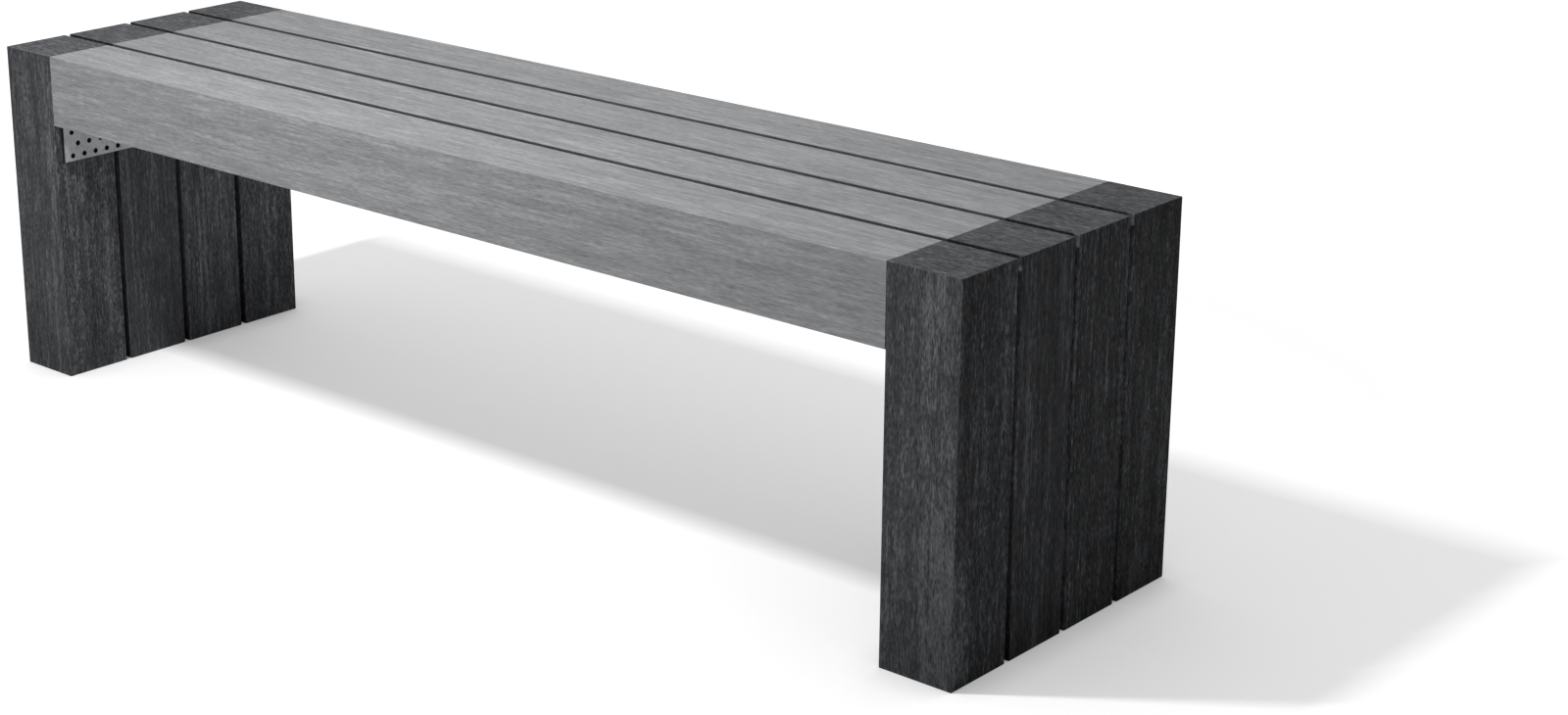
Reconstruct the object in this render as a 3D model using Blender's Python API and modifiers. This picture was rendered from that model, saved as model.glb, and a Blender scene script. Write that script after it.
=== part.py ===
"""Backless street bench, built as it comes apart: seat beams and leg posts of one square
recycled-plastic profile, a perforated steel angle in the corner between the seat and each leg,
and the coach screws that hold the angles.

Metres, +Z up. The origin is on the ground at the middle of the footprint. +X runs along the
seat, -Y is the front, and beams and posts are numbered from the front.
"""

import math

import bmesh
import bpy
from mathutils import Matrix, Vector

# Driving dimensions
PROFILE = 0.100  # side of the square plastic profile
PROFILE_EDGE = 0.001  # radius along its edges
ROWS = 4  # beams across the seat, and posts in each leg
ROW_GAP = 0.0086  # drainage gap between neighbours
SEAT_HEIGHT = 0.473
BEAM_LENGTH = 1.471
CONTACT = 0.0003  # gap kept between pieces that touch

SHEET = 0.003  # thickness of the perforated steel
FLANGE = 0.0553  # outside width of each flange of an angle
BEND_RADIUS = 0.0045  # outside radius of its bend
ANGLE_LENGTH = 0.400  # front to back
HOLE_DIAMETER = 0.0072
HOLE_PITCH = 0.0196
HOLE_ROWS = 3  # in each flange
HOLE_COLUMNS = 20  # in a full row; the staggered row between two full ones has one fewer
FIRST_ROW = 0.0136  # outside corner of the angle to its first row of holes

SCREW_DIAMETER = 0.006
SCREW_LENGTH = 0.060  # under the head
SCREW_TIP = 0.009
HEAD_ACROSS_FLATS = 0.010
HEAD_HEIGHT = 0.004
HEAD_CHAMFER = 0.0006
BORE_CLEARANCE = 0.0004  # stands for the plastic that the thread displaces

# How finely round shapes are faceted
HOLE_SIDES = 8
BEND_STEPS = 4
EDGE_STEPS = 2

# Derived sizes
ROW_PITCH = PROFILE + ROW_GAP
UNDERSIDE = SEAT_HEIGHT - PROFILE  # height of the underside of the beams
LEG_FACE = BEAM_LENGTH / 2 + CONTACT  # X of the inner face of the posts
HOLE_ROW_SPACING = HOLE_PITCH * math.sin(math.radians(60))

# The holes that take a screw: two columns to each beam or post, in one row of each flange
SCREW_COLUMNS = [(5 * row + 1, 5 * row + 3) for row in range(ROWS)]
POST_SCREW_ROW = 0
SEAT_SCREW_ROW = 2

SIDES = {"left": -1, "right": 1}
COLOURS = {
    "grey_plastic": ((0.27, 0.275, 0.28), 0.6, 0.0),
    "anthracite_plastic": ((0.035, 0.036, 0.038), 0.55, 0.0),
    "galvanised_steel": ((0.42, 0.43, 0.44), 0.45, 0.9),
    "stainless_steel": ((0.55, 0.55, 0.55), 0.3, 1.0),
}


def clear_scene():
    for obj in list(bpy.data.objects):
        bpy.data.objects.remove(obj)


def make_collection(name, hidden=False):
    collection = bpy.data.collections.new(name)
    collection.hide_render = hidden
    bpy.context.scene.collection.children.link(collection)
    return collection


def make_material(name):
    colour, roughness, metallic = COLOURS[name]
    material = bpy.data.materials.new(name)
    material.use_nodes = True
    shader = material.node_tree.nodes["Principled BSDF"]
    shader.inputs["Base Color"].default_value = (*colour, 1)
    shader.inputs["Roughness"].default_value = roughness
    shader.inputs["Metallic"].default_value = metallic
    return material


def mesh_from(bm, name, material=None):
    mesh = bpy.data.meshes.new(name)
    bm.to_mesh(mesh)
    bm.free()
    if material:
        mesh.materials.append(material)
    return mesh


def add_object(name, mesh, collection):
    obj = bpy.data.objects.new(name, mesh)
    collection.objects.link(obj)
    return obj


def add_cutter(name, mesh, cutters):
    cutter = add_object(name, mesh, cutters)
    cutter.hide_render = True
    cutter.display_type = "WIRE"
    return cutter


def cut(obj, cutter):
    modifier = obj.modifiers.new(cutter.name, "BOOLEAN")
    modifier.operation = "DIFFERENCE"
    modifier.solver = "EXACT"
    modifier.object = cutter


def turn_to(direction):
    """The rotation that points +Z along direction."""
    return Vector(direction).to_track_quat("Z", "Y").to_matrix().to_4x4()


def add_cylinder(bm, centre, direction, diameter, depth):
    """Adds a closed cylinder with its middle at centre and its axis along direction."""
    bmesh.ops.create_cone(
        bm,
        cap_ends=True,
        segments=HOLE_SIDES,
        radius1=diameter / 2,
        radius2=diameter / 2,
        depth=depth,
        matrix=Matrix.Translation(centre) @ turn_to(direction),
    )


def row_y(row):
    """Y of the middle of a beam or post, row 0 being the front one."""
    return (row - (ROWS - 1) / 2) * ROW_PITCH


def hole_y(row, column):
    """Y of a hole of the perforation, in which every other row is staggered by half a pitch."""
    last_column = HOLE_COLUMNS - 1 - row % 2
    return (column - last_column / 2) * HOLE_PITCH


def hole_reach(row):
    """Distance of a row of holes from the outside corner of the angle."""
    return FIRST_ROW + row * HOLE_ROW_SPACING


def corner_of(sign):
    """The outside corner of the angle at the left (-1) or right (+1) end."""
    return Vector((sign * (LEG_FACE - CONTACT), 0, UNDERSIDE - CONTACT))


def screw_places():
    """(name, point under the head on the face of the sheet, direction that the head faces)."""
    places = []
    for side, sign in SIDES.items():
        corner = corner_of(sign)
        post_point = corner + Vector((-sign * SHEET, 0, -hole_reach(POST_SCREW_ROW)))
        seat_point = corner + Vector((-sign * hole_reach(SEAT_SCREW_ROW), 0, -SHEET))
        for number, columns in enumerate(SCREW_COLUMNS, start=1):
            for letter, column in zip("ab", columns):
                post_shift = Vector((0, hole_y(POST_SCREW_ROW, column), 0))
                seat_shift = Vector((0, hole_y(SEAT_SCREW_ROW, column), 0))
                post_name = f"{side}_post_screw_{number}{letter}"
                seat_name = f"{side}_seat_screw_{number}{letter}"
                places.append((post_name, post_point + post_shift, Vector((-sign, 0, 0))))
                places.append((seat_name, seat_point + seat_shift, Vector((0, 0, -1))))
    return places


def make_bore_cutter(cutters):
    """One cutter for the blind bore of every screw. It reaches out past the steel."""
    bm = bmesh.new()
    depth = SCREW_LENGTH + CONTACT
    diameter = SCREW_DIAMETER + 2 * BORE_CLEARANCE
    for _, point, facing in screw_places():
        add_cylinder(bm, point - facing * depth / 2, facing, diameter, depth)
    return add_cutter("screw_bores", mesh_from(bm, "screw_bores"), cutters)


def make_profile_piece(name, size, location, bores, collection, material):
    """A length of the square plastic profile, its edges rounded and its screw bores cut."""
    bm = bmesh.new()
    bmesh.ops.create_cube(bm, size=1, matrix=Matrix.Diagonal((*size, 1)))
    obj = add_object(name, mesh_from(bm, name, material), collection)
    obj.location = location
    bevel = obj.modifiers.new("rounded_edges", "BEVEL")
    bevel.width = PROFILE_EDGE
    bevel.segments = EDGE_STEPS
    cut(obj, bores)


def make_seat(bores, collection, material):
    size = (BEAM_LENGTH, PROFILE, PROFILE)
    for row in range(ROWS):
        name = f"seat_beam_{row + 1}"
        location = (0, row_y(row), UNDERSIDE + PROFILE / 2)
        make_profile_piece(name, size, location, bores, collection, material)


def make_legs(bores, collection, material):
    size = (PROFILE, PROFILE, SEAT_HEIGHT)
    for side, sign in SIDES.items():
        for row in range(ROWS):
            name = f"{side}_post_{row + 1}"
            location = (sign * (LEG_FACE + PROFILE / 2), row_y(row), SEAT_HEIGHT / 2)
            make_profile_piece(name, size, location, bores, collection, material)


def angle_section():
    """(x, z) points along the outside of the left angle, measured from its outside corner: up
    its standing flange, round the bend, and along its level flange."""
    section = [(0, -FLANGE)]
    for step in range(BEND_STEPS + 1):
        angle = math.pi / 2 * step / BEND_STEPS
        x = BEND_RADIUS * (1 - math.cos(angle))
        z = BEND_RADIUS * (math.sin(angle) - 1)
        section.append((x, z))
    section.append((FLANGE, 0))
    return section


def angle_mesh(material):
    """The outside face of the left angle, as an open sheet that faces the plastic."""
    bm = bmesh.new()
    half = ANGLE_LENGTH / 2
    front = [bm.verts.new((x, -half, z)) for x, z in angle_section()]
    back = [bm.verts.new((x, half, z)) for x, z in angle_section()]
    for i in range(len(front) - 1):
        bm.faces.new((front[i], front[i + 1], back[i + 1], back[i]))
    return mesh_from(bm, "perforated_angle", material)


def angle_holes():
    """Cutters for all holes of one angle, measured from its outside corner."""
    bm = bmesh.new()
    depth = 4 * SHEET
    for row in range(HOLE_ROWS):
        reach = hole_reach(row)
        for column in range(HOLE_COLUMNS - row % 2):
            y = hole_y(row, column)
            add_cylinder(bm, (0, y, -reach), (1, 0, 0), HOLE_DIAMETER, depth)
            add_cylinder(bm, (reach, y, 0), (0, 0, 1), HOLE_DIAMETER, depth)
    return mesh_from(bm, "angle_holes")


def make_angles(cutters, collection, material):
    """The right angle is the left one turned half a turn."""
    sheet = angle_mesh(material)
    holes = angle_holes()
    for side, sign in SIDES.items():
        angle = add_object(f"{side}_angle", sheet, collection)
        cutter = add_cutter(f"{side}_angle_holes", holes, cutters)
        for obj in (angle, cutter):
            obj.location = corner_of(sign)
            obj.rotation_euler.z = math.pi if sign > 0 else 0
        solidify = angle.modifiers.new("sheet", "SOLIDIFY")
        solidify.thickness = SHEET
        solidify.offset = -1
        solidify.use_even_offset = True
        cut(angle, cutter)


def turned_shank(cutters):
    """The round shank and its point, turned from a profile that starts inside the head."""
    radius = SCREW_DIAMETER / 2
    profile = [
        (0, HEAD_HEIGHT / 2),
        (radius, HEAD_HEIGHT / 2),
        (radius, SCREW_TIP - SCREW_LENGTH),
        (0, -SCREW_LENGTH),
    ]
    bm = bmesh.new()
    verts = [bm.verts.new((x, 0, z)) for x, z in profile]
    for pair in zip(verts, verts[1:]):
        bm.edges.new(pair)
    shank = add_cutter("shank", mesh_from(bm, "shank"), cutters)
    turn = shank.modifiers.new("turn", "SCREW")
    turn.steps = HOLE_SIDES
    turn.render_steps = HOLE_SIDES
    turn.use_merge_vertices = True
    turn.merge_threshold = 0.00001
    return shank


def hexagon_head(cutters):
    """The head, its bearing face at z = 0 and its outer edge chamfered."""
    corner_radius = HEAD_ACROSS_FLATS / 2 / math.cos(math.pi / 6)
    bm = bmesh.new()
    bmesh.ops.create_cone(
        bm,
        cap_ends=True,
        segments=6,
        radius1=corner_radius,
        radius2=corner_radius,
        depth=HEAD_HEIGHT,
        matrix=Matrix.Translation((0, 0, HEAD_HEIGHT / 2)),
    )
    middle = HEAD_HEIGHT / 2
    outer = [edge for edge in bm.edges if all(vert.co.z > middle for vert in edge.verts)]
    bmesh.ops.bevel(bm, geom=outer, offset=HEAD_CHAMFER, segments=1, affect="EDGES")
    return add_object("head", mesh_from(bm, "head"), cutters)


def screw_mesh(cutters, material):
    """A coach screw whose head bears on the plane z = 0 and whose shank points to -Z."""
    shank = turned_shank(cutters)
    head = hexagon_head(cutters)
    union = head.modifiers.new("shank", "BOOLEAN")
    union.operation = "UNION"
    union.solver = "EXACT"
    union.object = shank
    graph = bpy.context.evaluated_depsgraph_get()
    mesh = bpy.data.meshes.new_from_object(head.evaluated_get(graph))
    mesh.name = "coach_screw"
    mesh.materials.clear()
    mesh.materials.append(material)
    bpy.data.objects.remove(head)
    bpy.data.objects.remove(shank)
    return mesh


def make_screws(cutters, collection, material):
    mesh = screw_mesh(cutters, material)
    for name, point, facing in screw_places():
        obj = add_object(name, mesh, collection)
        obj.matrix_world = Matrix.Translation(point + facing * CONTACT) @ turn_to(facing)


def main():
    clear_scene()
    bench = make_collection("backless_bench")
    cutters = make_collection("cutters", hidden=True)
    materials = {name: make_material(name) for name in COLOURS}
    bores = make_bore_cutter(cutters)
    make_seat(bores, bench, materials["grey_plastic"])
    make_legs(bores, bench, materials["anthracite_plastic"])
    make_angles(cutters, bench, materials["galvanised_steel"])
    make_screws(cutters, bench, materials["stainless_steel"])


main()
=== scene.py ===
"""The finished look of the backless street bench: streaked recycled-plastic beams and posts, the
perforated steel angles and their coach screws, on a plain pale floor.

Metres, +Z up. +X runs along the seat, -Y is the front, and the floor is at z = 0.
"""

import math
import random
from collections import namedtuple

import bmesh
import bpy
from mathutils import Matrix, Vector, noise


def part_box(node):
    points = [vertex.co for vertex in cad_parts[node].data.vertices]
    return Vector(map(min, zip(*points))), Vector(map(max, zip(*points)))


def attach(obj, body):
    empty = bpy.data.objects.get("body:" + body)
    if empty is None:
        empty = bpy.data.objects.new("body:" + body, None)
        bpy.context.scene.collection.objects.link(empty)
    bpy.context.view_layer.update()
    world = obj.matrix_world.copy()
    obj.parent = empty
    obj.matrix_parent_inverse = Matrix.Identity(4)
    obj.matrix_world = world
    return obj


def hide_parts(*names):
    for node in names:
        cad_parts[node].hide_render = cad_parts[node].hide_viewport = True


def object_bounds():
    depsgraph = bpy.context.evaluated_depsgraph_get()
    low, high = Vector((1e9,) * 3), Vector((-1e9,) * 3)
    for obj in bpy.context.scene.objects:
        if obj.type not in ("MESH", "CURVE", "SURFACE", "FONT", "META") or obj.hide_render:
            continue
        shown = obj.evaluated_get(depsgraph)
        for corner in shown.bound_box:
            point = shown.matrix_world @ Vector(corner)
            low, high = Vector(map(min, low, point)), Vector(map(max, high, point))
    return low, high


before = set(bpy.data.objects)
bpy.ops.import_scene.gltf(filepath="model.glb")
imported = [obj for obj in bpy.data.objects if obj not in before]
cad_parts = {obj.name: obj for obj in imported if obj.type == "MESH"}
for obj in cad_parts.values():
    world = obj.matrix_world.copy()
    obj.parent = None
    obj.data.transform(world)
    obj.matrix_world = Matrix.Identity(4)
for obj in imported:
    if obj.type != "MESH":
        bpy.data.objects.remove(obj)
cad_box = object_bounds()

MM = 0.001
ROWS = 4

# Edges that turn more than this, in degrees, are shaded sharp
PLASTIC_SHARP = 40
SHEET_SHARP = 35
SCREW_SHARP = 25

# Plastic profile
EDGE_RADIUS = 1 * MM  # along its edges
END_RADIUS = 0.8 * MM  # round its sawn ends
ARC_STEPS = 3
SIDE_STEPS = 5
STATION_SPACING = 20 * MM
SAG = 0.12 * MM  # most that its faces sink, from cooling unevenly
SAG_SPACING = (0.22, 0.05)  # length of a dip along and across the profile
BORE_SIDES = 24
BORE_CLEARANCE = 0.4 * MM  # round a screw, as in the frame
CONTACT = 0.3 * MM  # gap that touching pieces keep

# Perforated angle
SHEET = 3 * MM
BEND_RADIUS = 4.5 * MM  # outside
BEND_STEPS = 10
HOLE_DIAMETER = 7.2 * MM
HOLE_SIDES = 32
HOLE_PITCH = 19.6 * MM
HOLE_ROWS = 3
HOLE_COLUMNS = 20  # in a full row; the staggered row has one fewer
FIRST_ROW = 13.6 * MM  # outside corner to the first row of holes
SHEET_EDGE = 0.25 * MM  # rounding of its cut edges
CUT_EDGE_TURN = 50  # least turn of a cut edge, in degrees

# Coach screw
SCREW_SIDES = 48
SHANK_RADIUS = 3 * MM
SHANK_FILLET = 0.3 * MM  # where it meets the head
CORE_RADIUS = 2.15 * MM  # under the thread
SCREW_LENGTH = 60 * MM
THREAD_LENGTH = 42 * MM
TIP_LENGTH = 9 * MM
THREAD_PITCH = 2.6 * MM
RIDGE_WIDTH = 0.28  # half the width of the thread's ridge, as a share of its pitch
BLUNT_TIP = 0.04  # least radius of the tip, as a share of the shank's
RINGS_PER_TURN = 8
ACROSS_FLATS = 10 * MM
HEAD_HEIGHT = 4 * MM
HEAD_DISC = 4.7 * MM  # radius of the flat on top of the head
WASHER_FACE = (4.6 * MM, 0.25 * MM)  # radius and height of the round face under the head
CHAMFER_SLOPE = math.tan(math.radians(30))

# Random patterns: each bar adds its row, and each leg adds LEG_SEED_STEP
BEAM_SEED = 11
POST_SEED = 21
LEG_SEED_STEP = 10
SCREW_SEED = 5

Bar = namedtuple("Bar", "node axis slot tones contrast seed")

# Painted light and shade: how much paler or darker each bar's sides that face along X, Y and Z
# are painted, for the light that falls on them, from the front row to the back
BEAM_FACE_SHADING = [
    (1.0, 1.06, 1.0),
    (1.0, 1.0, 0.99),
    (1.0, 1.0, 1.0),
    (1.0, 1.0, 1.01),
]
POST_FACE_SHADING = {
    "left": [
        (1.0, 0.82, 0.97),
        (1.08, 0.97, 0.95),
        (1.25, 0.97, 1.0),
        (1.48, 0.97, 0.98),
    ],
    "right": [
        (0.79, 0.88, 0.70),
        (0.72, 0.97, 0.72),
        (0.67, 0.97, 0.74),
        (0.61, 0.97, 0.69),
    ],
}

# How strongly the grain shows on those sides
BEAM_CONTRAST = (1.0, 0.95, 1.0)
POST_CONTRASTS = {
    "left": [
        (1.1, 0.85, 1.0),
        (0.75, 0.85, 0.9),
        (1.05, 0.85, 1.05),
        (1.0, 0.85, 1.0),
    ],
    "right": [
        (1.25, 0.8, 1.3),
        (1.0, 0.85, 1.0),
        (1.7, 0.85, 1.1),
        (1.35, 0.85, 1.2),
    ],
}

# Gaps between rows
GAP_START = (2 * MM, 6 * MM)  # how far in from the front and back they start and are full
GAP_SIDE = (0.02, 0.2)  # how far a side faces along Y where it starts to be a gap's, and is one
GAP_SHADE_DEPTH = (14 * MM, 6 * MM)  # how far below the top the painted shade in a gap starts and is full
GAP_SHADE_DARKENING = 0.73
GAP_LIGHT_DEPTH = (12 * MM, 4 * MM)  # how far in from the right end a gap's sides get painted light
GAP_LIGHT_GAIN = 0.9
FOOT_GAP_LIGHT = (0.0, 0.1, 1.9, 2.3)  # the same at the floor, from the front post to the back
TOP_GAP_LIGHT = (0.0, -0.4, 0.4, 0.25)  # and at the top
GAP_LIGHT_HEIGHTS = (0.22, 0.456, 0.464)  # heights where the painted gap light at the floor ends, and that at the top starts and is full
POST_FOOT_SHADE = {"left": (0.18, 0.33), "right": (0.26, 0.4)}  # height of the painted shade at a post's foot, and how dark it is
END_FOOT_SHADE = (0.08, 0.15)  # the same for the right leg's sides that face along the bench
COVERED_SHADE_TONE = 0.12  # painted shade on plastic behind an angle
COVERED_MARGIN = 1 * MM


# Meshes


def link(obj):
    bpy.context.scene.collection.objects.link(obj)
    return obj


def mesh_from(bm, name):
    bmesh.ops.recalc_face_normals(bm, faces=bm.faces)
    mesh = bpy.data.meshes.new(name)
    bm.to_mesh(mesh)
    bm.free()
    return mesh


def loft(name, rings):
    """A closed body through rings of points, with its first and last ring filled."""
    bm = bmesh.new()
    loops = [[bm.verts.new(point) for point in ring] for ring in rings]
    for lower, upper in zip(loops, loops[1:]):
        for i, vert in enumerate(lower):
            j = (i + 1) % len(lower)
            bm.faces.new((vert, lower[j], upper[j], upper[i]))
    bm.faces.new(loops[0])
    bm.faces.new(loops[-1])
    return mesh_from(bm, name)


def add_modifier(obj, kind, **settings):
    modifier = obj.modifiers.new(kind.lower(), kind)
    for key, value in settings.items():
        setattr(modifier, key, value)
    return modifier


def apply_modifiers(obj):
    """Gives obj the mesh that its modifiers make of it."""
    graph = bpy.context.evaluated_depsgraph_get()
    mesh = bpy.data.meshes.new_from_object(obj.evaluated_get(graph))
    obj.modifiers.clear()
    obj.data = mesh


def cut(obj, cutter_mesh):
    cutter = link(bpy.data.objects.new("cutter", cutter_mesh))
    add_modifier(obj, "BOOLEAN", operation="DIFFERENCE", solver="EXACT", object=cutter)
    bpy.context.view_layer.update()
    apply_modifiers(obj)
    bpy.data.objects.remove(cutter)


def smooth(obj, sharp_angle):
    """Smooth shading, but for edges that turn more than sharp_angle in degrees."""
    obj.data.shade_smooth()
    obj.data.set_sharp_from_angle(angle=math.radians(sharp_angle))
    add_modifier(obj, "WEIGHTED_NORMAL", keep_sharp=True)


def turn_to(direction):
    """The rotation that points +Z along direction."""
    return Vector(direction).to_track_quat("Z", "Y").to_matrix().to_4x4()


def add_rod(bm, centre, direction, diameter, depth, sides):
    bmesh.ops.create_cone(
        bm,
        cap_ends=True,
        segments=sides,
        radius1=diameter / 2,
        radius2=diameter / 2,
        depth=depth,
        matrix=Matrix.Translation(centre) @ turn_to(direction),
    )


def finish_piece(obj, node, material):
    """Puts a new piece in the place of its CAD node."""
    obj.data.materials.clear()
    obj.data.materials.append(material)
    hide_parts(node)
    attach(obj, "root")


# Plastic beams and posts


def rounded_square(half_u, half_v, radius):
    """(u, v) points round a rectangle with round corners, and (u, v) of the way out at each."""
    corners = [(1, 1), (-1, 1), (-1, -1), (1, -1)]
    points = []
    for quarter, (sign_u, sign_v) in enumerate(corners):
        middle_u = sign_u * (half_u - radius)
        middle_v = sign_v * (half_v - radius)
        for step in range(ARC_STEPS + 1):
            angle = math.pi / 2 * (quarter + step / ARC_STEPS)
            out = (math.cos(angle), math.sin(angle))
            points.append(((middle_u + radius * out[0], middle_v + radius * out[1]), out))
        next_u, next_v = corners[(quarter + 1) % 4]
        start_u, start_v = points[-1][0]
        stop_u = next_u * (half_u - radius) + radius * out[0]
        stop_v = next_v * (half_v - radius) + radius * out[1]
        for step in range(1, SIDE_STEPS):
            share = step / SIDE_STEPS
            u = start_u + (stop_u - start_u) * share
            v = start_v + (stop_v - start_v) * share
            points.append(((u, v), out))
    return points


def stations(length):
    """(distance from the middle, inset) along a bar, its ends turning in by END_RADIUS."""
    half = length / 2
    body = half - END_RADIUS
    count = max(2, round(2 * body / STATION_SPACING))
    middle = [(-body + 2 * body * i / count, 0) for i in range(1, count)]
    end = []
    for step in range(ARC_STEPS + 1):
        angle = math.pi / 2 * step / ARC_STEPS
        end.append((body + END_RADIUS * math.sin(angle), END_RADIUS * (1 - math.cos(angle))))
    start = [(-along, inset) for along, inset in reversed(end)]
    return start + middle + end


def sink(along, u, v, seed):
    """How far a face has sunk there, from 0 to SAG. The seed gives each bar dips of its own."""
    spread_along, spread_across = SAG_SPACING
    point = Vector((along / spread_along, u / spread_across, v / spread_across))
    return SAG * (0.5 + 0.5 * noise.noise(point + Vector((seed * 7.3, seed * 3.1, 0))))


def bar_mesh(bar):
    """The bar in its place, from its CAD node's box. bar.axis is the axis that it runs along."""
    low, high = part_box(bar.node)
    centre = (low + high) / 2
    size = high - low
    across = [axis for axis in range(3) if axis != bar.axis]
    half_u, half_v = (size[axis] / 2 for axis in across)
    rings = []
    for along, inset in stations(size[bar.axis]):
        ring = []
        radius = EDGE_RADIUS - inset / 2
        for (u, v), out in rounded_square(half_u - inset, half_v - inset, radius):
            depth = sink(along, u, v, bar.seed)
            point = Vector()
            point[bar.axis] = along
            point[across[0]] = u - depth * out[0]
            point[across[1]] = v - depth * out[1]
            ring.append(centre + point)
        rings.append(ring)
    return loft(f"{bar.node}_profile", rings)


def bore_mesh(screws):
    """Cutters for the blind bores of these screws."""
    bm = bmesh.new()
    depth = SCREW_LENGTH + CONTACT
    diameter = 2 * (SHANK_RADIUS + BORE_CLEARANCE)
    for place in screws:
        point = place.point - place.facing * (CONTACT + depth / 2)
        add_rod(bm, point, place.facing, diameter, depth, BORE_SIDES)
    return mesh_from(bm, "bores")


# Coach screws

ScrewPlace = namedtuple("ScrewPlace", "node point facing")


def screw_places():
    """Where each screw's head bears, and which way the head faces."""
    places = []
    for node in sorted(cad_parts):
        if "_screw_" not in node:
            continue
        low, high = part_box(node)
        centre = (low + high) / 2
        if "_seat_" in node:
            facing = Vector((0, 0, -1))
            point = Vector((centre.x, centre.y, low.z + HEAD_HEIGHT))
        elif node.startswith("left"):
            facing = Vector((1, 0, 0))
            point = Vector((high.x - HEAD_HEIGHT, centre.y, centre.z))
        else:
            facing = Vector((-1, 0, 0))
            point = Vector((low.x + HEAD_HEIGHT, centre.y, centre.z))
        places.append(ScrewPlace(node, point, facing))
    return places


def hexagon_radius(angle):
    """Distance from the middle to the edge of the hexagonal head in that direction."""
    sector = math.pi / 3
    return ACROSS_FLATS / 2 / math.cos((angle % sector) - sector / 2)


def thread_radius(angle, depth):
    """Radius of the threaded shank at this angle and this far below the head."""
    thread_start = SCREW_LENGTH - THREAD_LENGTH
    phase = (depth / THREAD_PITCH - angle / (2 * math.pi)) % 1
    ridge = max(0, 1 - abs(phase - 0.5) / RIDGE_WIDTH)
    grow = min(1, max(0, (depth - thread_start) / THREAD_PITCH))
    fade = min(1, (SCREW_LENGTH - depth) / TIP_LENGTH)
    smooth_radius = SHANK_RADIUS + (CORE_RADIUS - SHANK_RADIUS) * grow
    crest = SHANK_RADIUS - smooth_radius
    return (smooth_radius + crest * ridge) * max(fade, BLUNT_TIP)


def screw_mesh():
    """Rings from the top of the head, round the head and down the threaded shank to the tip.
    The head bears on z = 0 and the shank points to -Z."""
    angles = [2 * math.pi * i / SCREW_SIDES for i in range(SCREW_SIDES)]
    washer_radius, washer_height = WASHER_FACE
    head = [
        (lambda angle: HEAD_DISC * 0.5, lambda radius: HEAD_HEIGHT),
        (lambda angle: HEAD_DISC, lambda radius: HEAD_HEIGHT),
        (hexagon_radius, lambda radius: HEAD_HEIGHT - (radius - HEAD_DISC) * CHAMFER_SLOPE),
        (hexagon_radius, lambda radius: washer_height),
        (lambda angle: washer_radius, lambda radius: washer_height),
        (lambda angle: washer_radius * 0.98, lambda radius: 0),
        (lambda angle: SHANK_RADIUS + SHANK_FILLET, lambda radius: 0),
        (lambda angle: SHANK_RADIUS, lambda radius: -SHANK_FILLET),
    ]
    rings = []
    for radius_at, height_at in head:
        ring = []
        for angle in angles:
            radius = radius_at(angle)
            point = (radius * math.cos(angle), radius * math.sin(angle), height_at(radius))
            ring.append(point)
        rings.append(ring)
    thread_start = SCREW_LENGTH - THREAD_LENGTH
    count = round(THREAD_LENGTH / THREAD_PITCH * RINGS_PER_TURN)
    for i in range(count + 1):
        depth = thread_start + THREAD_LENGTH * i / count
        ring = []
        for angle in angles:
            radius = thread_radius(angle, depth)
            ring.append((radius * math.cos(angle), radius * math.sin(angle), -depth))
        rings.append(ring)
    mesh = loft("coach_screw", rings)
    mesh.shade_smooth()
    mesh.set_sharp_from_angle(angle=math.radians(SCREW_SHARP))
    return mesh


# Perforated angles


def angle_outline():
    """(x, z) along the outside of the left angle, from its outside corner: up the standing
    flange, round the bend and along the level flange."""
    low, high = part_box("left_angle")
    outline = [(0, low.z - high.z)]
    for step in range(BEND_STEPS + 1):
        turn = math.pi / 2 * step / BEND_STEPS
        x = BEND_RADIUS * (1 - math.cos(turn))
        z = BEND_RADIUS * (math.sin(turn) - 1)
        outline.append((x, z))
    outline.append((high.x - low.x, 0))
    return outline


def angle_sheet():
    """The outside of the left angle, an open sheet that faces the plastic."""
    low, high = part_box("left_angle")
    half = (high.y - low.y) / 2
    bm = bmesh.new()
    front = [bm.verts.new((x, -half, z)) for x, z in angle_outline()]
    back = [bm.verts.new((x, half, z)) for x, z in angle_outline()]
    for i in range(len(front) - 1):
        bm.faces.new((front[i], front[i + 1], back[i + 1], back[i]))
    mesh = bpy.data.meshes.new("angle_sheet")
    bm.to_mesh(mesh)
    bm.free()
    return mesh


def angle_holes():
    bm = bmesh.new()
    row_spacing = HOLE_PITCH * math.sin(math.pi / 3)
    for row in range(HOLE_ROWS):
        reach = FIRST_ROW + row * row_spacing
        columns = HOLE_COLUMNS - row % 2
        for column in range(columns):
            y = (column - (columns - 1) / 2) * HOLE_PITCH
            add_rod(bm, (0, y, -reach), (1, 0, 0), HOLE_DIAMETER, 4 * SHEET, HOLE_SIDES)
            add_rod(bm, (reach, y, 0), (0, 0, 1), HOLE_DIAMETER, 4 * SHEET, HOLE_SIDES)
    return mesh_from(bm, "angle_holes")


def perforated_angle_mesh():
    obj = link(bpy.data.objects.new("angle", angle_sheet()))
    add_modifier(obj, "SOLIDIFY", thickness=SHEET, offset=-1, use_even_offset=True)
    apply_modifiers(obj)
    cut(obj, angle_holes())
    add_modifier(
        obj,
        "BEVEL",
        width=SHEET_EDGE,
        segments=2,
        limit_method="ANGLE",
        angle_limit=math.radians(CUT_EDGE_TURN),
    )
    apply_modifiers(obj)
    mesh = obj.data
    bpy.data.objects.remove(obj)
    return mesh


# Materials


NOISE_SPAN = (0.3, 0.7)  # where nearly all of a noise lies


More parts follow.
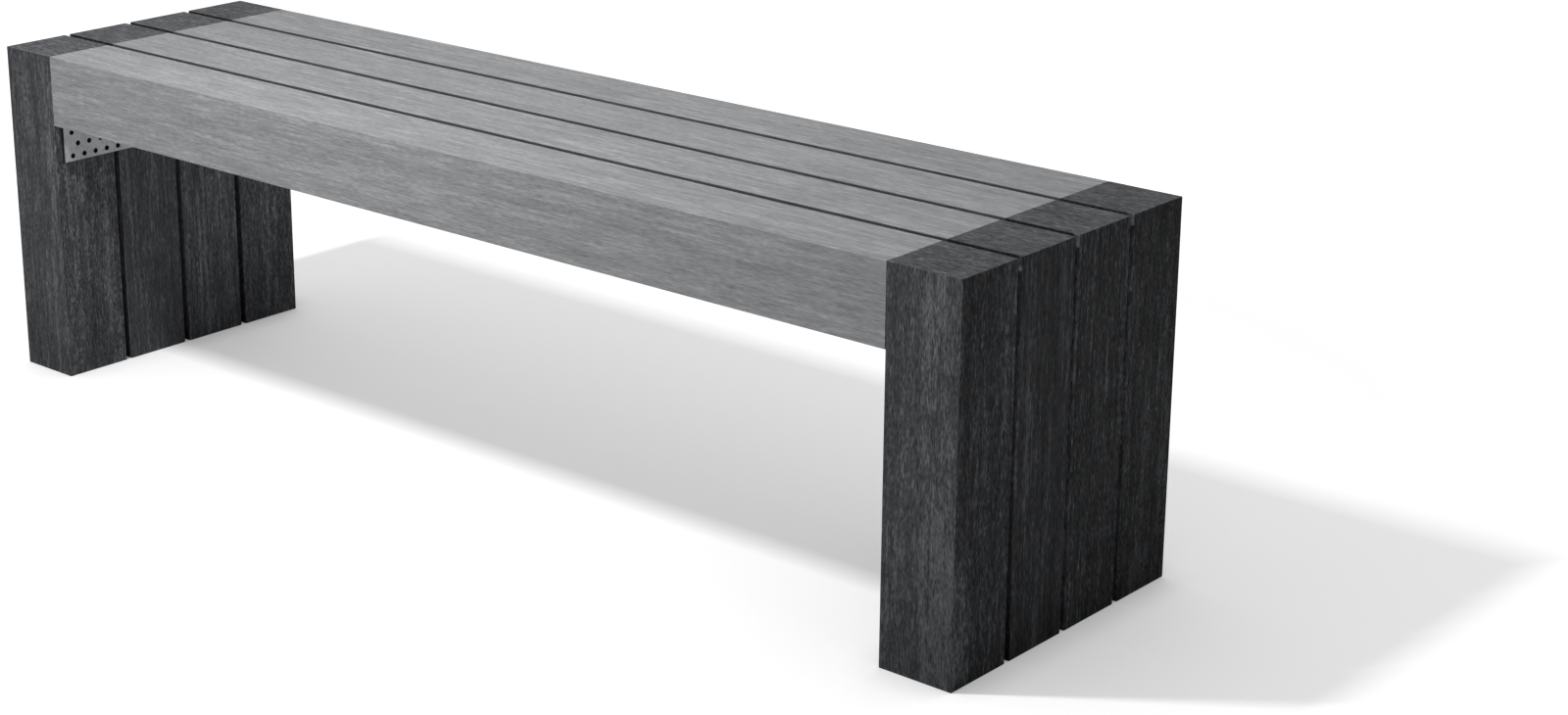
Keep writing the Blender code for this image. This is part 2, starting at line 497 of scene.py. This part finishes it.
class Nodes:
    """Builds a node tree. A value is a number, a tuple or another node's output."""

    def __init__(self, tree):
        self.tree = tree

    def node(self, kind, **settings):
        node = self.tree.nodes.new(kind)
        for key, value in settings.items():
            setattr(node, key, value)
        return node

    def put(self, value, socket):
        if isinstance(value, bpy.types.NodeSocket):
            self.tree.links.new(value, socket)
        else:
            socket.default_value = value

    def math(self, operation, *values):
        node = self.node("ShaderNodeMath", operation=operation)
        for value, socket in zip(values, node.inputs):
            self.put(value, socket)
        return node.outputs[0]

    def vector(self, operation, *values):
        node = self.node("ShaderNodeVectorMath", operation=operation)
        for value, socket in zip(values, node.inputs):
            self.put(value, socket)
        return node.outputs[0]

    def split(self, vector):
        node = self.node("ShaderNodeSeparateXYZ")
        self.put(vector, node.inputs[0])
        return node.outputs

    def noise(self, point, detail):
        """Noise with cells one unit across, from about 0.2 to 0.8."""
        node = self.node("ShaderNodeTexNoise")
        self.put(point, node.inputs["Vector"])
        self.put(1.0, node.inputs["Scale"])
        self.put(detail, node.inputs["Detail"])
        return node.outputs[0]

    def grain(self, point, size, detail):
        """Noise with cells of this size."""
        return self.noise(self.vector("DIVIDE", point, (size,) * 3), detail)

    def ramp(self, value, start, stop, low=0.0, high=1.0):
        """From low to high, smoothly, as value goes from start to stop."""
        node = self.node("ShaderNodeMapRange", interpolation_type="SMOOTHSTEP")
        for number, socket in zip((value, start, stop, low, high), node.inputs):
            self.put(number, socket)
        return node.outputs[0]

    def mix(self, share, first, second):
        """A number between first and second."""
        node = self.node("ShaderNodeMix", data_type="FLOAT")
        self.put(share, node.inputs[0])
        self.put(first, node.inputs[2])
        self.put(second, node.inputs[3])
        return node.outputs[0]

    def tint(self, colour, factor):
        """The colour times a number."""
        node = self.node("ShaderNodeVectorMath", operation="SCALE")
        self.put(colour, node.inputs[0])
        self.put(factor, node.inputs["Scale"])
        return node.outputs[0]

    def bump(self, height, distance):
        node = self.node("ShaderNodeBump")
        self.put(1.0, node.inputs["Strength"])
        self.put(distance, node.inputs["Distance"])
        self.put(height, node.inputs["Height"])
        return node.outputs[0]

    def place(self):
        return self.node("ShaderNodeTexCoord").outputs["Object"]

    def facing(self):
        """How far the surface faces along X, Y and Z: three shares that add up to 1."""
        normal = self.node("ShaderNodeNewGeometry").outputs["Normal"]
        return self.vector("MULTIPLY", normal, normal)

    def dot(self, first, second):
        node = self.node("ShaderNodeVectorMath", operation="DOT_PRODUCT")
        self.put(first, node.inputs[0])
        self.put(second, node.inputs[1])
        return node.outputs["Value"]

    def edge_distance(self, size):
        """Distance to the nearest edge of a box of this size that fills the object's bounds."""
        generated = self.node("ShaderNodeTexCoord").outputs["Generated"]
        away = []
        for share, length in zip(self.split(generated), size):
            nearer = self.math("MINIMUM", share, self.math("SUBTRACT", 1.0, share))
            away.append(self.math("MULTIPLY", nearer, length))
        smaller = self.math("MINIMUM", away[0], away[1])
        larger = self.math("MAXIMUM", away[0], away[1])
        return self.math("MAXIMUM", smaller, self.math("MINIMUM", larger, away[2]))


class Shading(Nodes):
    """The nodes of a new material."""

    def __init__(self, name):
        self.material = bpy.data.materials.new(name)
        self.material.use_nodes = True
        super().__init__(self.material.node_tree)
        self.shader = self.tree.nodes["Principled BSDF"]


Streak = namedtuple("Streak", "long wide gain detail")

# Cells along and across the grain in millimetres, and how strongly each tints the plastic
BEAM_STREAKS = [
    Streak(12, 1.6, 0.44, 1),
    Streak(40, 3.2, 0.25, 0),
    Streak(130, 6, 0.13, 0),
    Streak(110, 16, 0.08, 0),
    Streak(300, 22, 0.07, 0),
]
POST_STREAKS = [
    Streak(6, 1.5, 1.4, 1),
    Streak(16, 2.6, 0.6, 0),
    Streak(200, 6, 0.3, 0),
    Streak(45, 9, 0.3, 0),
    Streak(260, 30, 0.33, 0),
]
LONG_GRAIN_ROWS = "23"  # whose posts have LONG_POST_STREAKS
LONG_POST_STREAKS = [
    Streak(8, 1.4, 1.35, 1),
    Streak(30, 2.6, 0.55, 0),
    Streak(200, 5, 0.42, 0),
    Streak(260, 28, 0.28, 0),
]
SAWN_STREAKS = [
    Streak(8, 2.2, 1.3, 1),
    Streak(22, 6, 0.45, 0),
    Streak(70, 30, 0.14, 0),
]


def streaks(shading, axis, layers, draw):
    """(tint as a power of e, height), both about 0, of the grain that runs along this axis."""
    point = shading.place()
    total = 0.0
    height = None
    for layer in layers:
        cell = [layer.wide * MM] * 3
        cell[axis] = layer.long * MM
        scaled = shading.vector("DIVIDE", point, tuple(cell))
        offset = tuple(draw.uniform(-50, 50) for _ in range(3))
        value = shading.noise(shading.vector("ADD", scaled, offset), layer.detail)
        swing = shading.math("SUBTRACT", value, 0.5)
        height = swing if height is None else shading.math("ADD", height, swing)
        total = shading.math("ADD", total, shading.math("MULTIPLY", swing, 2 * layer.gain))
    return total, height


def shade_behind_angle(shading, place):
    """Factor for plastic that an angle covers: painted shade, dark so that its holes look deep.
    """
    low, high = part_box("right_angle")
    covered = 1.0
    for axis in range(3):
        along = place[axis] if axis == 2 else shading.math("ABSOLUTE", place[axis])
        above = shading.math("GREATER_THAN", along, low[axis] - COVERED_MARGIN)
        below = shading.math("LESS_THAN", along, high[axis] + COVERED_MARGIN)
        covered = shading.math("MULTIPLY", covered, shading.math("MULTIPLY", above, below))
    return shading.mix(covered, 1.0, COVERED_SHADE_TONE)


def with_painted_gap_light(shading, place, in_gap, row, tint):
    """The tint, with painted light on the sides of a gap at the right end, where daylight reaches
    in.
    """
    bench_end = cad_box[1][0]
    start, full = GAP_LIGHT_DEPTH
    outer = shading.ramp(place[0], bench_end - start, bench_end - full)
    low, high, top = GAP_LIGHT_HEIGHTS
    gap_light = shading.ramp(place[2], 0.0, low, FOOT_GAP_LIGHT[row], GAP_LIGHT_GAIN)
    gap_light = shading.mix(shading.ramp(place[2], high, top), gap_light, TOP_GAP_LIGHT[row])
    gap_light = shading.math("ADD", 1.0, shading.math("MULTIPLY", gap_light, in_gap))
    return shading.mix(outer, tint, gap_light)


def painted_light_and_shade(shading, bar, facing):
    """Factor for painted shade in the gaps near the top and on plastic behind the angles, for
    painted light on the gap sides at the right end, and for painted shade towards the posts'
    feet."""
    bench_high = cad_box[1]
    place = shading.split(shading.place())
    faces_y = shading.split(facing)[1]
    across = shading.math("ABSOLUTE", place[1])
    start, full = GAP_START
    in_gap = shading.ramp(across, bench_high[1] - start, bench_high[1] - full)
    in_gap = shading.math("MULTIPLY", in_gap, shading.ramp(faces_y, *GAP_SIDE))
    # painted shade down the sides of the gaps, near the top
    start, full = GAP_SHADE_DEPTH
    gap_shade = shading.ramp(place[2], bench_high[2] - start, bench_high[2] - full)
    gap_shade = shading.math("MULTIPLY", gap_shade, in_gap)
    tint = shading.math("SUBTRACT", 1.0, shading.math("MULTIPLY", gap_shade, GAP_SHADE_DARKENING))
    # painted shade on plastic behind the angles
    tint = shading.math("MULTIPLY", tint, shade_behind_angle(shading, place))
    if bar.axis == 0:
        return tint
    side, _, number = bar.node.split("_")
    # painted shade, darker towards the foot
    reach, dark = POST_FOOT_SHADE[side]
    foot_darkening = shading.ramp(place[2], reach, 0.0, 0.0, dark)
    if side == "right":
        reach, dark = END_FOOT_SHADE
        end_foot_darkening = shading.ramp(place[2], reach, 0.0, 0.0, dark)
        foot_darkening = shading.mix(faces_y, end_foot_darkening, foot_darkening)
        # painted light on the sides of the gaps at the right end
        tint = with_painted_gap_light(shading, place, in_gap, int(number) - 1, tint)
    return shading.math("MULTIPLY", tint, shading.math("SUBTRACT", 1.0, foot_darkening))


RUBBED_WIDTH = 3 * MM  # how far in from an edge the plastic is rubbed pale
RUBBED_PATCH = 30 * MM
PLASTIC = {
    "seat_plastic": dict(
        colour=(0.366, 0.371, 0.381),
        layers=BEAM_STREAKS,
        specular=0.22,
        roughness=0.52,
        fleck=0.05,
        wear=0.03,
        relief=0.10 * MM,
    ),
    "leg_plastic": dict(
        colour=(0.112, 0.116, 0.1235),
        layers=POST_STREAKS,
        specular=0.13,
        roughness=0.5,
        fleck=0.35,
        wear=0.18,
        relief=0.12 * MM,
    ),
}


def plastic(bar):
    """Streaked plastic for one bar. Each bar has its own pattern."""
    look = PLASTIC[bar.slot]
    draw = random.Random(bar.seed)
    low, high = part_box(bar.node)
    shading = Shading(f"{bar.node}_plastic")
    layers = look["layers"]
    if bar.slot == "leg_plastic" and bar.node[-1] in LONG_GRAIN_ROWS:
        layers = LONG_POST_STREAKS
    tint, height = streaks(shading, bar.axis, layers, draw)
    facing = shading.facing()
    if bar.axis == 2:
        sawn_tint, sawn_height = streaks(shading, 0, SAWN_STREAKS, draw)
        on_end = shading.ramp(shading.split(facing)[2], 0.4, 0.6)
        tint = shading.mix(on_end, tint, sawn_tint)
        height = shading.mix(on_end, height, sawn_height)
    tint = shading.math("MULTIPLY", tint, shading.dot(facing, bar.contrast))
    tint = shading.math("EXPONENT", tint)
    # pale flecks where the grain stands highest
    fleck = shading.ramp(height, 0.10, 0.45, 0.0, look["fleck"])
    if bar.axis == 2:
        fleck = shading.math("MULTIPLY", fleck, shading.math("SUBTRACT", 1.0, on_end))
    tint = shading.math("ADD", tint, fleck)
    # rubbed edges
    rubbed = shading.ramp(shading.edge_distance(tuple(high - low)), RUBBED_WIDTH, 0.0)
    patchy = shading.grain(shading.place(), RUBBED_PATCH, 2)
    wear = shading.math("MULTIPLY", rubbed, shading.ramp(patchy, 0.35, 0.7))
    tint = shading.math("ADD", tint, shading.math("MULTIPLY", wear, look["wear"]))
    # painted light and shade: each side paler or darker by which way it faces
    tint = shading.math("MULTIPLY", tint, shading.dot(facing, bar.tones))
    tint = shading.math("MULTIPLY", tint, painted_light_and_shade(shading, bar, facing))
    shading.put(shading.tint(look["colour"], tint), shading.shader.inputs["Base Color"])
    rough = shading.math("SUBTRACT", look["roughness"], shading.math("MULTIPLY", height, 0.12))
    rough = shading.math("SUBTRACT", rough, shading.math("MULTIPLY", wear, 0.08))
    shading.put(rough, shading.shader.inputs["Roughness"])
    shading.put(look["specular"], shading.shader.inputs["Specular IOR Level"])
    shading.put(shading.bump(height, look["relief"]), shading.shader.inputs["Normal"])
    return shading.material


ZINC = (0.83, 0.84, 0.86)
CUT_AND_HOLE_SHADE = 0.04  # painted shade on cut edges and in the holes, as a share of the zinc's colour
SPANGLES = 260.0  # crystals of zinc in a metre
STAIN_SIZE = 50 * MM
SHEET_GRAIN = 1.5 * MM


def galvanised():
    """Hot-dip galvanised sheet: dull zinc with faint spangle and stains, and painted shade on its
    cut edges and in its holes."""
    shading = Shading("galvanised_steel")
    point = shading.place()
    cells = shading.node("ShaderNodeTexVoronoi", feature="F1")
    shading.put(point, cells.inputs["Vector"])
    shading.put(SPANGLES, cells.inputs["Scale"])
    spangle = shading.split(cells.outputs["Color"])[0]
    stain = shading.grain(point, STAIN_SIZE, 3)
    fine = shading.grain(point, SHEET_GRAIN, 2)
    tint = shading.ramp(spangle, 0.0, 1.0, 0.92, 1.06)
    tint = shading.math("MULTIPLY", tint, shading.ramp(stain, *NOISE_SPAN, 0.9, 1.05))
    place = shading.split(point)
    faces = shading.split(shading.facing())
    # only a rolled face points straight out of its flange: cut edges and holes' walls don't
    on_level = shading.math("GREATER_THAN", place[0], BEND_RADIUS)
    on_standing = shading.math("LESS_THAN", place[2], -BEND_RADIUS)
    upright = shading.math("MULTIPLY", faces[0], shading.math("SUBTRACT", 1.0, on_level))
    level = shading.math("MULTIPLY", faces[2], shading.math("SUBTRACT", 1.0, on_standing))
    rolled = shading.math("ADD", upright, level)
    # painted shade on cut edges and in the holes
    tint = shading.math("MULTIPLY", tint, shading.ramp(rolled, 0.1, 0.6, CUT_AND_HOLE_SHADE, 1.0))
    shading.put(shading.tint(ZINC, tint), shading.shader.inputs["Base Color"])
    shading.put(shading.ramp(spangle, 0.0, 1.0, 0.42, 0.56), shading.shader.inputs["Roughness"])
    shading.put(0.15, shading.shader.inputs["Metallic"])
    shading.put(shading.bump(fine, 0.03 * MM), shading.shader.inputs["Normal"])
    return shading.material


STAINLESS = (0.52, 0.515, 0.505)
SCRATCH = (1.2 * MM, 0.3 * MM, 0.3 * MM)
DULL_PATCH = 6 * MM


def stainless():
    """Satin stainless steel with fine scratches."""
    shading = Shading("screw_steel")
    point = shading.place()
    fine = shading.noise(shading.vector("DIVIDE", point, SCRATCH), 2)
    dull = shading.grain(point, DULL_PATCH, 2)
    tint = shading.ramp(dull, *NOISE_SPAN, 0.85, 1.05)
    shading.put(shading.tint(STAINLESS, tint), shading.shader.inputs["Base Color"])
    rough = shading.ramp(fine, *NOISE_SPAN, 0.26, 0.42)
    shading.put(rough, shading.shader.inputs["Roughness"])
    shading.put(1.0, shading.shader.inputs["Metallic"])
    shading.put(shading.bump(fine, 0.01 * MM), shading.shader.inputs["Normal"])
    return shading.material


# The bench


def all_bars():
    bars = []
    for row in range(ROWS):
        node = f"seat_beam_{row + 1}"
        seed = BEAM_SEED + row
        bars.append(Bar(node, 0, "seat_plastic", BEAM_FACE_SHADING[row], BEAM_CONTRAST, seed))
    for leg, side in enumerate(POST_FACE_SHADING):
        for row in range(ROWS):
            node = f"{side}_post_{row + 1}"
            tones = POST_FACE_SHADING[side][row]
            contrast = POST_CONTRASTS[side][row]
            seed = POST_SEED + LEG_SEED_STEP * leg + row
            bars.append(Bar(node, 2, "leg_plastic", tones, contrast, seed))
    return bars


def screws_of(bar, places):
    """The screws that end in this bar."""
    low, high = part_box(bar.node)
    found = []
    for place in places:
        end = place.point - place.facing * SCREW_LENGTH / 2
        if all(low[axis] < end[axis] < high[axis] for axis in range(3)):
            found.append(place)
    return found


def make_bars(places):
    for bar in all_bars():
        obj = link(bpy.data.objects.new(f"{bar.node}_grained", bar_mesh(bar)))
        cut(obj, bore_mesh(screws_of(bar, places)))
        smooth(obj, PLASTIC_SHARP)
        finish_piece(obj, bar.node, plastic(bar))


def make_screws(places):
    mesh = screw_mesh()
    material = stainless()
    draw = random.Random(SCREW_SEED)
    for place in places:
        obj = link(bpy.data.objects.new(f"{place.node}_threaded", mesh))
        turn = Matrix.Rotation(draw.uniform(0, math.pi / 3), 4, "Z")
        obj.matrix_world = Matrix.Translation(place.point) @ turn_to(place.facing) @ turn
        finish_piece(obj, place.node, material)


def make_angles():
    mesh = perforated_angle_mesh()
    material = galvanised()
    for side in ("left", "right"):
        node = f"{side}_angle"
        low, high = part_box(node)
        obj = link(bpy.data.objects.new(f"{node}_perforated", mesh))
        corner_x = low.x if side == "left" else high.x
        half_turn = Matrix.Rotation(0 if side == "left" else math.pi, 4, "Z")
        obj.matrix_world = Matrix.Translation((corner_x, 0, high.z)) @ half_turn
        smooth(obj, SHEET_SHARP)
        finish_piece(obj, node, material)


# Floor, light and camera

FLOOR_SIZE = 60
FLOOR_ALBEDO = 0.72
FLOOR_GLOW = 0.26  # light that the floor gives off everywhere
FLOOR_SKY = 0.455  # and where the bench doesn't stand over it
FADE_TO_WHITE = (1.2, 1.7)  # distances from the middle
SKY_REACH = 4.0
FOOT_REACH = 0.05  # how far round a foot the floor glows less
FOOT_SHADE = 0.5

KEY_PLACE = (-0.437, -1.17, 2.33)
KEY_TARGET = (0, 0, 0.3)
KEY_SIZE = (0.06, 0.28)
KEY_POWER = 47.1
BACK_LIGHT = 1.0

CAMERA_PLACE = (2.45598, -2.47608, 1.34032)
CAMERA_AZIMUTH = 41.426
CAMERA_DIP = 17.063
CAMERA_LENS = 64.125
CAMERA_SHIFT = (0.05907, -0.06011)


def make_floor():
    bm = bmesh.new()
    bmesh.ops.create_grid(bm, x_segments=2, y_segments=2, size=FLOOR_SIZE / 2)
    floor = link(bpy.data.objects.new("floor", mesh_from(bm, "floor")))
    shading = Shading("floor")
    shading.put((FLOOR_ALBEDO,) * 3 + (1,), shading.shader.inputs["Base Color"])
    shading.put(1.0, shading.shader.inputs["Roughness"])
    shading.put(0.0, shading.shader.inputs["Specular IOR Level"])
    # painted shade: the glow, which only the camera sees, is dimmer where the bench stands over
    # the floor and round its feet
    open_sky = shading.node("ShaderNodeAmbientOcclusion", samples=8)
    shading.put(SKY_REACH, open_sky.inputs["Distance"])
    glow = shading.math("MULTIPLY", open_sky.outputs["AO"], FLOOR_SKY)
    glow = shading.math("ADD", glow, FLOOR_GLOW)
    near_foot = shading.node("ShaderNodeAmbientOcclusion", samples=16)
    shading.put(FOOT_REACH, near_foot.inputs["Distance"])
    shade = shading.mix(near_foot.outputs["AO"], 1.0 - FOOT_SHADE, 1.0)
    glow = shading.math("MULTIPLY", glow, shade)
    far = shading.node("ShaderNodeVectorMath", operation="LENGTH")
    shading.put(shading.place(), far.inputs[0])
    glow = shading.mix(shading.ramp(far.outputs["Value"], *FADE_TO_WHITE), glow, 1.0)
    seen = shading.node("ShaderNodeLightPath").outputs["Is Camera Ray"]
    shading.put((1, 1, 1, 1), shading.shader.inputs["Emission Color"])
    shading.put(shading.math("MULTIPLY", glow, seen), shading.shader.inputs["Emission Strength"])
    floor.data.materials.append(shading.material)


def make_world():
    """White to look at, and a soft light from behind the bench."""
    world = bpy.data.worlds.new("studio")
    world.use_nodes = True
    bpy.context.scene.world = world
    sky = Nodes(world.node_tree)
    background = sky.tree.nodes["Background"]
    direction = sky.node("ShaderNodeTexCoord").outputs["Generated"]
    backward = sky.math("MAXIMUM", sky.split(direction)[1], 0.0)
    soft = sky.math("MULTIPLY", sky.math("POWER", backward, 2.0), BACK_LIGHT)
    seen = sky.node("ShaderNodeLightPath").outputs["Is Camera Ray"]
    sky.put((1, 1, 1, 1), background.inputs["Color"])
    sky.put(sky.math("MAXIMUM", soft, seen), background.inputs["Strength"])


def make_light():
    light = bpy.data.lights.new("key", "AREA")
    light.shape = "RECTANGLE"
    light.size, light.size_y = KEY_SIZE
    light.energy = KEY_POWER
    lamp = link(bpy.data.objects.new("key", light))
    lamp.location = KEY_PLACE
    aim = Vector(KEY_TARGET) - Vector(KEY_PLACE)
    lamp.rotation_euler = aim.to_track_quat("-Z", "Y").to_euler()


def make_camera():
    data = bpy.data.cameras.new("camera")
    data.lens = CAMERA_LENS
    data.shift_x, data.shift_y = CAMERA_SHIFT
    camera = link(bpy.data.objects.new("camera", data))
    camera.location = CAMERA_PLACE
    azimuth = math.radians(CAMERA_AZIMUTH)
    dip = math.radians(CAMERA_DIP)
    ahead = Vector((
        -math.sin(azimuth) * math.cos(dip),
        math.cos(azimuth) * math.cos(dip),
        -math.sin(dip),
    ))
    camera.rotation_euler = ahead.to_track_quat("-Z", "Y").to_euler()
    bpy.context.scene.camera = camera
    bpy.context.scene.view_settings.view_transform = "Standard"


make_camera()
make_light()
make_world()
make_floor()
places = screw_places()
make_bars(places)
make_angles()
make_screws(places)
